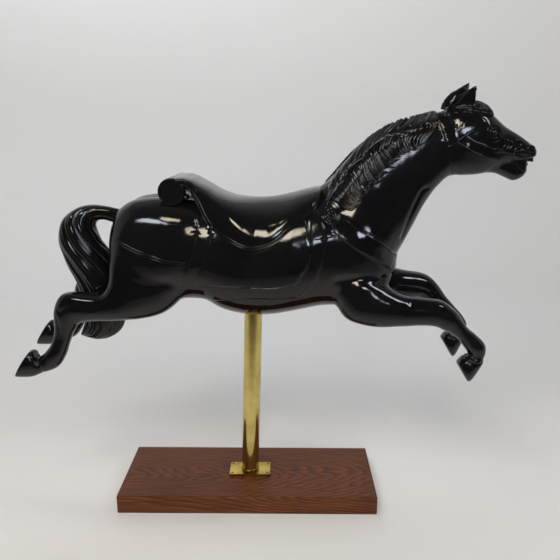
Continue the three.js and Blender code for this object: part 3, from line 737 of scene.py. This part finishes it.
# Lines of the seat's double welt, the breeching and a buckle. Below, each is laid with its radius,
# together with the rolled edges of flap, cloth and breast strap.
WELT = [[-108, 698], [-103, 694], [-95, 685], [-87, 673], [-81, 661], [-75, 648], [-66, 634], [-51, 619],
        [-25, 602], [-2, 590], [18, 587], [43, 591], [62, 601], [74, 612], [93, 627], [113, 638],
        [130, 655], [144, 678]]
INNER_WELT = [[px - 3.5 * np.interp(px, [-60, 18, 90], [1, 0, -1]), pz - 4.5] for px, pz in WELT]
BREECHING = [[-248, 600], [-228, 590], [-211, 582], [-192, 575], [-174, 569], [-155, 562], [-112, 556]]
BUCKLE = [[118, 636], [122, 618], [130, 607], [133, 598], [129, 592], [124, 600], [121, 618]]
welts = []
for side in (-1, 1):
    for line, radius in (
            (WELT, 2.3), (INNER_WELT, 2.0),
            ([[-62, 628], [-62, 600], [-68, 574], [-80, 545], [-91, 509]], 1.4),
            ([[-91, 509], [-40, 507], [7, 506], [45, 504], [84, 508], [108, 524]], 1.7),
            ([[108, 524], [122, 545], [127, 575], [126, 610], [118, 636]], 1.3),
            ([[-88, 645], [-88, 618], [-97, 568], [-119, 521], [-127, 476]], 1.2),
            ([[8, 482], [60, 479], [97, 482], [122, 496], [138, 520], [152, 560], [155, 600],
              [149, 634]], 1.2),
            (BREAST_UPPER, 1.7), ([[px + 4, pz + 5] for px, pz in BREAST_UPPER[:-1]], 1.3),
            (BREAST_LOWER, 1.5),
            (BREECHING, 2.2), ([[px - 1, pz - 5] for px, pz in BREECHING], 1.3),
            ([[132, 600], [150, 601], [178, 606], [192, 612]], 1.8), (BUCKLE, 1.6)):
        welts.append(laid(line, side, radius, **even))
    for line in ([[298, 48, 562], [306, 26, 556], [310, 0, 553]],
                 [[291, 56, 533], [304, 32, 528], [309, 0, 525]]):
        welts.append(laid(line, side, 1.5, lift=0.7, **even))
saddle = piece("horse_saddle", *gathered([seat_form, roll_form()] + welts), lacquer)
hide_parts("horse")
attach(saddle, "root")

# ---- Horse: bridle, eyes and mouth ------------------------------------------------------------
# The cheek strap, its rings and the rolled edges of the bridle stand proud of the head. Eye,
# lids, nostril, wrinkled lip and bared teeth are cut with small gouges and lacquered over.
trim = []


def ball(centre, radius):
    """The ball of an eye."""
    rings, around = 14, 22
    points = [centre + radius * MM * np.array([
        math.sin(math.pi * i / rings) * math.cos(2 * math.pi * k / around),
        math.sin(math.pi * i / rings) * math.sin(2 * math.pi * k / around),
        math.cos(math.pi * i / rings)]) for i in range(rings + 1) for k in range(around)]
    return np.array(points), between(rings + 1, around)[1]


def loop(x, z, side, reach, radius):
    """A small ring lying on the skin."""
    centre, out = on_skin(x, z, side, 0.5)
    circle = [centre + reach * MM * np.array([math.cos(a), 0, math.sin(a)])
              for a in np.linspace(0, 2 * math.pi, 17)]
    return strand(circle, radius, pieces=48, flat=np.tile(out, (17, 1)), point=1, root=1)


for side in (-1, 1):
    for line, radius in ((BROW_UPPER, 1.2), (BROW_LOWER, 1.2), (CROWN_FRONT, 1.0), (CROWN_BACK, 0.9),
                         (THROAT_BACK, 0.9), (THROAT_FRONT, 0.9),
                         ([[426, 793], [432, 789], [439, 784], [450, 779], [461, 776], [472, 772],
                           [482, 768]], 2.7),
                         ([[498, 764], [510, 761], [524, 758]], 2.4),
                         ([[524, 758], [537, 754], [550, 751]], 3.1),
                         ([[410, 781], [426, 773], [442, 763], [458, 757], [473, 752], [491, 748],
                           [509, 743]], 1.2)):
        trim.append(laid(line, side, radius, **even))
    trim.append(loop(489, 765, side, 4.8, 1.5))
    trim.append(loop(500, 764, side, 3.0, 1.3))
    # Eye: the ball, the upper and the lower lid, and the bone of the brow over it.
    spot, out = on_skin(481, 799, side)
    trim.append(ball(spot - out * 2.2 * MM, 6.4))
    for line, radius in (([[471, 799], [474, 805], [480, 808], [486, 806], [490, 799]], 1.8),
                         ([[472, 797], [476, 791], [483, 788], [488, 791], [491, 798]], 1.5),
                         ([[466, 802], [470, 810], [479, 814], [489, 810], [496, 801]], 1.7),
                         ([[476, 783], [485, 781], [493, 786], [498, 793]], 1.2)):
        trim.append(laid(line, side, radius, lift=0.5, **even))
    # Wrinkles of the lip, and the rim of the nostril.
    for line, radius in (([[500, 788], [505, 782], [506, 776], [502, 771]], 2.0),
                         ([[508, 787], [513, 780], [514, 774], [509, 768]], 2.3),
                         ([[517, 784], [521, 778], [520, 772], [514, 767]], 2.2),
                         ([[524, 762], [530, 769], [536, 774], [543, 777]], 2.8),
                         ([[524, 762], [533, 765], [544, 766], [553, 763]], 2.3),
                         ([[526, 784], [533, 784], [541, 781], [547, 777]], 2.0),
                         ([[552, 767], [555, 772], [561, 773], [567, 770], [567, 764], [561, 761],
                           [555, 763]], 2.2),
                         ([[522, 758], [531, 755], [541, 752], [551, 751], [560, 753], [570, 757]], 3.0),
                         ([[533, 746], [535, 741], [538, 736], [543, 730], [550, 726], [554, 720]], 2.4),
                         ([[527, 749], [529, 742], [531, 735], [537, 727], [543, 719]], 1.5)):
        trim.append(laid(line, side, radius, lift=0.9, point=0.4, root=0.5))


def tooth(centre, way, length):
    """A small blunt peg, standing that way from its middle."""
    centre, way = np.array(centre), np.array(way)
    path = np.array([centre - way * length * 0.5, centre + way * length * 0.2,
                     centre + way * length * 0.5])
    return strand(path * MM, 2.7, sides=12, pieces=8, flat=np.tile([0.3, 1.0, 0.1], (3, 1)),
                  height=1.15, point=0.75, root=0.9)


# Teeth: the upper row round the front of the lip, and two lower rows along the dropped jaw.
for k in range(7):
    a = (k - 3) / 3
    trim.append(tooth([573 - 17 * abs(a) ** 1.6, 12 * a, 747 + 1.5 * abs(a)], [0.25, 0, -1], 10))
    trim.append(tooth([562 - 7 * abs(a) ** 1.5, 10 * a, 735 - 2 * abs(a)], [0.6, 0.1 * a, 0.8], 9))
    trim.append(tooth([560 - 6 * abs(a), 10.5 * a, 727 - 2 * abs(a)], [0.9, 0.1 * a, 0.4], 7))
face = piece("horse_face", *gathered(trim), lacquer)
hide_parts("horse")
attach(face, "root")

# ---- Horse: mane and forelock -----------------------------------------------------------------
# The mane falls on the right side: long combed strands from the crest to a scalloped ridge, and
# below it short wavy locks, ending in a spiral curl at the withers. The gouge parts each strand.


def rail(points, t):
    """The place at t, from 0 to 1, along a line of points."""
    return eased(points, np.array([np.clip(t, 0, 1) * (len(points) - 1)]))[0]


def hair(points, side, radius, lift=1.0, sides=10, **shape):
    """A strand laid on the block along a line of [x, z] places, turned out a little sideways."""
    path, out = split([on_skin(px, pz, side, lift) for px, pz in points])
    out[:, 1] += side * 0.3
    return strand(path, radius, flat=out, height=0.9, sides=sides, **shape)


# Four rails of [x, z] places, each from the ears to the withers. A strand starts on the first, at
# the crest, and crosses the others on its way down.
COMBED = [
    [[370, 841], [353, 837], [331, 832], [294, 821], [258, 801], [228, 775], [206, 748], [182, 722],
     [166, 702]],
    [[355, 818], [336, 811], [315, 811], [276, 799], [239, 775], [213, 751], [194, 727], [180, 711],
     [168, 690]],
    [[338, 800], [321, 797], [296, 797], [266, 789], [226, 757], [205, 733], [189, 710], [178, 700],
     [165, 680]],
    [[322, 787], [308, 788], [281, 790], [256, 780], [216, 737], [198, 721], [184, 699], [174, 686],
     [161, 668]]]
locks = []
COMBED_STRANDS, LOCKS, TURNED_OVER, FORELOCK = 38, 40, 36, 15
for i in range(COMBED_STRANDS):
    t = i / (COMBED_STRANDS - 1)
    line = [rail(r, t + 0.006 * math.sin(i * 2.3 + k)) for k, r in enumerate(COMBED)]
    path, out = split([on_skin(px, pz, -1, 1.2) for px, pz in line])
    path[0] = [line[0][0] * MM, -0.001, (line[0][1] - 3.5) * MM]
    out[0] = [-0.5, -0.4, 0.8]
    locks.append(strand(path, 3.9 + 0.5 * math.sin(i * 1.7), flat=out, pieces=26, sides=12, height=0.85,
                        root=0.9, point=0.5))
# Behind the ears the hair sweeps down and forward to a point on the neck.
for i in range(8):
    t = i / 7
    line = [rail(pair, t) for pair in (
        [[356, 838], [372, 841]], [[339, 813], [372, 822]], [[324, 798], [367, 806]],
        [[310, 785], [354, 790]], [[314, 770], [345, 781]], [[331, 768], [336, 774]])]
    locks.append(hair(line, -1, 3.6, lift=1.4, pieces=32, point=0.25, sides=12))
# The rails of the short locks, from the ridge down to their tips.
SHORT = [
    [[318, 788], [294, 791], [279, 790], [258, 779], [240, 763], [228, 748], [212, 735], [200, 720],
     [190, 706], [180, 693], [173, 683], [166, 672]],
    [[319, 777], [290, 779], [272, 775], [257, 759], [245, 745], [233, 732], [222, 716], [211, 704],
     [202, 694], [193, 683], [187, 677], [180, 669]],
    [[322, 768], [301, 767], [285, 762], [267, 740], [254, 726], [242, 714], [232, 700], [221, 689],
     [212, 680], [208, 673], [202, 667], [195, 660]],
    [[336, 775], [317, 766], [302, 751], [283, 728], [271, 719], [258, 704], [249, 697], [235, 687],
     [231, 675], [227, 669], [219, 661], [211, 655]]]
for i in range(LOCKS):
    t = i / (LOCKS - 1)
    full = 1 - 0.35 * (i % 3 == 1) + 0.15 * math.sin(i * 1.9)
    line = [rail(r, t + 0.009 * math.sin(i * 1.3 + 1.7 * k)) for k, r in enumerate(SHORT)]
    way = (line[3] - line[2]) / np.linalg.norm(line[3] - line[2])
    turn = np.array([-way[1], way[0]])
    bulge = (line[1] + line[2]) / 2 - turn * 3 * full
    low = (line[2] + line[3]) / 2 - turn * 3.5 * full + way * 4 * math.sin(i * 2.7)
    tip = line[3] + way * 5 * math.sin(i * 2.7) + turn * 6 * full
    # Two strands lie close together in each lock and part again at its tip.
    for k in (-1, 1):
        apart = turn * 1.5 * k * full
        path = [line[0] + apart * 0.3, line[1] + apart, bulge + apart * 1.1, low + apart,
                tip + apart * 0.4]
        locks.append(hair(path, -1, 2.7 * full + 0.3 * k, lift=1.6 + 1.6 * full - 0.5 * k, pieces=28,
                          sides=12, root=0.4))
# The scalloped ridge where the combed hair turns under.
for line in ([[322, 786], [310, 789], [294, 791], [279, 790], [265, 783], [250, 773], [236, 758],
              [228, 746]],
             [[240, 756], [228, 747], [216, 738], [204, 726], [196, 713], [190, 703]],
             [[202, 712], [192, 703], [181, 692], [170, 678], [162, 664], [154, 651], [150, 640],
              [154, 631]]):
    locks.append(hair(line, -1, 3.4, lift=1.8, pieces=50, sides=12, root=0.3, point=0.3))
# The spiral curl at the foot of the mane: two strands wound together, a turn and a half each.
CURL_X, CURL_Z, CURL_REACH, CURL_SWEEP = 168, 641, 17.5, 560
for start in (100, 280):
    line = []
    for k in range(25):
        a = math.radians(start + CURL_SWEEP * k / 24)
        r = CURL_REACH * (1 - 0.86 * k / 24)
        line.append([CURL_X + r * math.cos(a), CURL_Z + r * math.sin(a)])
    locks.append(hair(line, -1, 3.3, lift=2.4, pieces=110, point=0.35, root=0.8))
# On the left side the same hair only just turns over the crest.
for i in range(TURNED_OVER):
    t = i / (TURNED_OVER - 1)
    line = [rail(COMBED[0], t) - [0, 2], rail(COMBED[0], t) * 0.7 + rail(COMBED[1], t) * 0.3,
            rail(COMBED[1], t), rail(COMBED[1], t) * 0.4 + rail(COMBED[2], t) * 0.6]
    locks.append(hair(line, 1, 4.2, lift=0.8, pieces=20, point=0.2))
# The forelock is drawn forward between the ears and turns under over the forehead.
middle = (FORELOCK - 1) / 2
for i in range(FORELOCK):
    a = (i - middle) / middle
    sway = 3.4 * math.sin(i * 2.1)
    tip = 4 * math.sin(i * 2.6)
    path = np.array([[398, 13 * a, 845], [416, 24 * a, 852 - 9 * a * a],
                     [436, 31 * a + sway, 856 - 16 * a * a], [455, 33 * a - sway, 856 - 20 * a * a],
                     [470, 31 * a + sway, 850 - 17 * a * a], [479, 27 * a, 841 - 9 * a * a],
                     [476 - tip, 24 * a - sway, 831 - 3 * a * a + tip]])
    out = np.array([[0.1, 0.6 * a, 1], [0.1, a, 1], [0.1, 1.4 * a, 1], [0.3, 1.4 * a, 1],
                    [0.8, 1.2 * a, 0.8], [1, a, 0.2], [0.9, a, -0.5]])
    for k in (-1, 1):
        locks.append(strand((path + [0, 1.7 * k, 0.8 * k * a]) * MM, 2.7 + 0.5 * math.sin(i * 1.4 + k),
                            flat=out, pieces=40, root=0.6, point=0.2))
# At the side it ends in wavy tips lying back along the temple.
for side in (-1, 1):
    for i in range(7):
        t = i / 6
        root = rail([[476, 838], [452, 843], [424, 843]], t)
        wave = 2.2 * math.sin(i * 2.4)
        line = [root, root + [-7, -5 + wave], root + [-15, -6 - wave], root + [-22, -9 + 0.5 * wave]]
        locks.append(hair(line, side, 3.0 - 0.8 * (i % 2), lift=1.4, pieces=24, point=0.15))
mane = piece("horse_mane", *gathered(locks), lacquer)
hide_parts("horse")
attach(mane, "root")

# ---- Horse: tail ------------------------------------------------------------------------------
# Carved from the same block, arched out of the croup and swept down between the hocks: the top
# of the arch is smooth, and below it deep strands wind from the back edge round to the front.
TAIL = [
    [-246, 640, -262, 608, 13, 0], [-268, 646, -279, 618, 14, 0], [-292, 651, -296, 622, 16, 0],
    [-318, 653, -308, 619, 20, 0], [-344, 648, -313, 609, 25, 0], [-368, 634, -311, 596, 30, 0],
    [-384, 613, -302, 576, 33, 0], [-391, 580, -286, 552, 35, 0], [-384, 551, -276, 524, 35, 0],
    [-374, 523, -272, 500, 34, 0], [-362, 496, -270, 480, 33, 0], [-354, 462, -265, 455, 32, 0],
    [-349, 430, -262, 424, 31, 0], [-346, 408, -274, 386, 29, 0], [-350, 396, -308, 364, 24, 0],
    [-356, 384, -342, 367, 15, 0], [-362, 373, -359, 369, 3, 0]]
BROAD_CUT, NARROW_CUT = 5.2, 1.5


def strands(t, angle):
    """Grooves between the strands, which start at the back edge and run forward as they fall."""
    from_back = np.abs(np.arctan2(np.sin(angle), np.cos(angle)))
    winding = from_back - 4.6 * t + 0.35 * np.sin(9 * t)
    broad = np.abs(np.sin(3.2 * winding)) ** 0.55
    narrow = np.abs(np.sin(9.6 * winding + 0.6 * np.sin(14 * t))) ** 0.7
    depth = smoothstep(t, 0.12, 0.34) * smoothstep(1 - t, 0, 0.1)
    # The back of the arch is left smooth.
    depth = depth * (1 - 0.85 * (1 - smoothstep(from_back, 0.3, 1.1)) * (1 - smoothstep(t, 0.38, 0.62)))
    return depth * (BROAD_CUT * (broad - 0.70) + NARROW_CUT * (narrow - 0.7))


tail = piece("horse_tail", *form(TAIL, 256, 14, relief=strands), lacquer)
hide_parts("horse")
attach(tail, "root")

# ---- Camera, floor and lights ---------------------------------------------------------------
# Stage, not part of the object: a pale floor that sweeps up into a round wall, under three broad fills.
# The floor before the horse is painted darker, a painted shade that the lacquer reflects as the dim room
# there. Two warm lamps and three cool windows stand in the room only to show in the lacquer as its
# highlights.
LOOK_DOWN, ROLLED, TURNED = 14.61, -0.11, 0.46  # degrees
view = bpy.data.cameras.new("camera")
view.sensor_width = 36.0
view.lens = 38.57
camera = bpy.data.objects.new("camera", view)
bpy.context.scene.collection.objects.link(camera)
camera.location = (0.0786, -1.227, 0.8147)
camera.rotation_euler = [math.radians(turn) for turn in (90 - LOOK_DOWN, ROLLED, TURNED)]
bpy.context.scene.camera = camera

FLAT, BEND = 2.2, 0.9  # metres: the flat of the floor from its middle, and the sweep's radius
sweep = [(r / 20 * FLAT, 0.0) for r in range(21)]
sweep += [(FLAT + BEND * math.sin(a), BEND - BEND * math.cos(a))
          for a in np.linspace(0.1, math.pi / 2, 14)]
sweep += [(FLAT + BEND, BEND + 0.25 * k) for k in range(1, 13)]
turns = 96
points = [(r * math.cos(2 * math.pi * k / turns), r * math.sin(2 * math.pi * k / turns), z)
          for r, z in sweep[1:] for k in range(turns)] + [(0, 0, 0)]
faces = [(len(points) - 1, k, (k + 1) % turns) for k in range(turns)]
for r in range(len(sweep) - 2):
    for k in range(turns):
        n = (k + 1) % turns
        faces.append((r * turns + k, (r + 1) * turns + k, (r + 1) * turns + n, r * turns + n))
paper, tree, shader, place = finish_of("paper_with_painted_front_shade")
axes = add(tree, "ShaderNodeSeparateXYZ", {"Vector": place}).outputs
# Painted shade: the floor's colour goes from pale behind y = -0.4 m to dark by y = -1.3 m, so that the
# lacquer reflects a dim room before the horse.
far = add(tree, "ShaderNodeMapRange", {"Value": axes["Y"], "From Min": -1.3, "From Max": -0.4})
tree.links.new(ramp(tree, far.outputs[0], [(0.0, "#4c4a48"), (0.5, "#8b8885"), (1.0, "#e1e1df")]),
               shader.inputs["Base Color"])
shader.inputs["Roughness"].default_value = 0.9
# The part of the room before the horse is kept out of the lacquer, which shows it dark.
FRONT_FROM = -1.25
in_front = [max(points[k][1] for k in face) < FRONT_FROM for face in faces]
for name, shown in (("floor_sweep", False), ("floor_front", True)):
    floor = piece(name, points, [face for face, front in zip(faces, in_front) if front == shown], paper)
    floor.visible_glossy = not shown


def soft_box(name, place, target, size, power, shade):
    """A broad fill light of that size in metres, too far spread to show in the lacquer."""
    light = bpy.data.lights.new(name, "AREA")
    light.shape = "RECTANGLE"
    light.size, light.size_y = size
    light.energy = power
    light.color = linear(shade)[:3]
    made = bpy.data.objects.new(name, light)
    made.location = place
    made.rotation_euler = (Vector(target) - Vector(place)).to_track_quat("-Z", "Y").to_euler()
    made.visible_glossy = False
    bpy.context.scene.collection.objects.link(made)


def glow(name, place, target, size, strength, shade):
    """A lamp or window with soft edges, which the lacquer shows as a highlight."""
    wide, high = size[0] / 2, size[1] / 2
    material = bpy.data.materials.new(name)
    material.use_nodes = True
    tree = material.node_tree
    tree.nodes.clear()
    spot = add(tree, "ShaderNodeMapping", {"Vector": add(tree, "ShaderNodeTexCoord").outputs["Object"],
                                           "Scale": (1 / wide, 1 / high, 1)}).outputs[0]
    fade = add(tree, "ShaderNodeTexGradient", {"Vector": spot}, gradient_type="SPHERICAL").outputs["Fac"]
    power = add(tree, "ShaderNodeMapRange", {"Value": fade, "From Max": 0.45, "To Max": strength})
    lamp = add(tree, "ShaderNodeEmission", {"Color": linear(shade), "Strength": power.outputs[0]})
    add(tree, "ShaderNodeOutputMaterial", {"Surface": lamp.outputs[0]})
    made = piece(name, [(-wide, -high, 0), (wide, -high, 0), (wide, high, 0), (-wide, high, 0)],
                 [(0, 3, 2, 1)], material)
    made.location = place
    made.rotation_euler = (Vector(target) - Vector(place)).to_track_quat("-Z", "Y").to_euler()
    made.visible_camera = False


soft_box("fill_front", (-0.7, -1.5, 2.3), (0.1, 0.3, 0.2), (0.7, 0.6), 40, "#fff0dc")
soft_box("fill_wall", (-0.6, 1.2, 3.0), (-0.3, 3.1, 1.4), (2.4, 0.6), 44, "#f4f8ff")
soft_box("fill_low", (0.1, -2.1, 0.9), (0.0, 0.0, 0.05), (1.0, 0.5), 12, "#ffeed8")
glow("lamp_rear", (-0.34, -0.98, 2.15), (-0.12, -0.09, 0.64), (0.34, 0.34), 16, "#fff0d6")
glow("lamp_seat", (0.12, -1.84, 1.84), (0.05, -0.10, 0.62), (0.34, 1.05), 18, "#fff3de")
glow("window_left", (-0.82, -1.22, 2.15), (-0.17, -0.09, 0.63), (1.15, 0.40), 16, "#eef3ff")
glow("window_front", (0.66, -2.35, 1.27), (0.22, -0.08, 0.62), (0.56, 0.58), 17, "#e6edff")
glow("window_right", (1.62, -1.15, 2.10), (0.40, -0.08, 0.60), (0.60, 0.80), 14, "#eef3ff")
world = bpy.data.worlds.new("room")
world.use_nodes = True
tree = world.node_tree
around_room = add(tree, "ShaderNodeTexCoord").outputs["Generated"]
axes = add(tree, "ShaderNodeSeparateXYZ", {"Vector": around_room}).outputs
behind = add(tree, "ShaderNodeMapRange", {"Value": axes["Y"], "From Min": -0.35, "From Max": 0.6})
tree.links.new(ramp(tree, behind.outputs[0], [(0.0, "#3c3c3e"), (0.4, "#6c6e70"), (1.0, "#b4b7ba")]),
               tree.nodes["Background"].inputs["Color"])
bpy.context.scene.world = world
bpy.context.scene.view_settings.view_transform = "Standard"
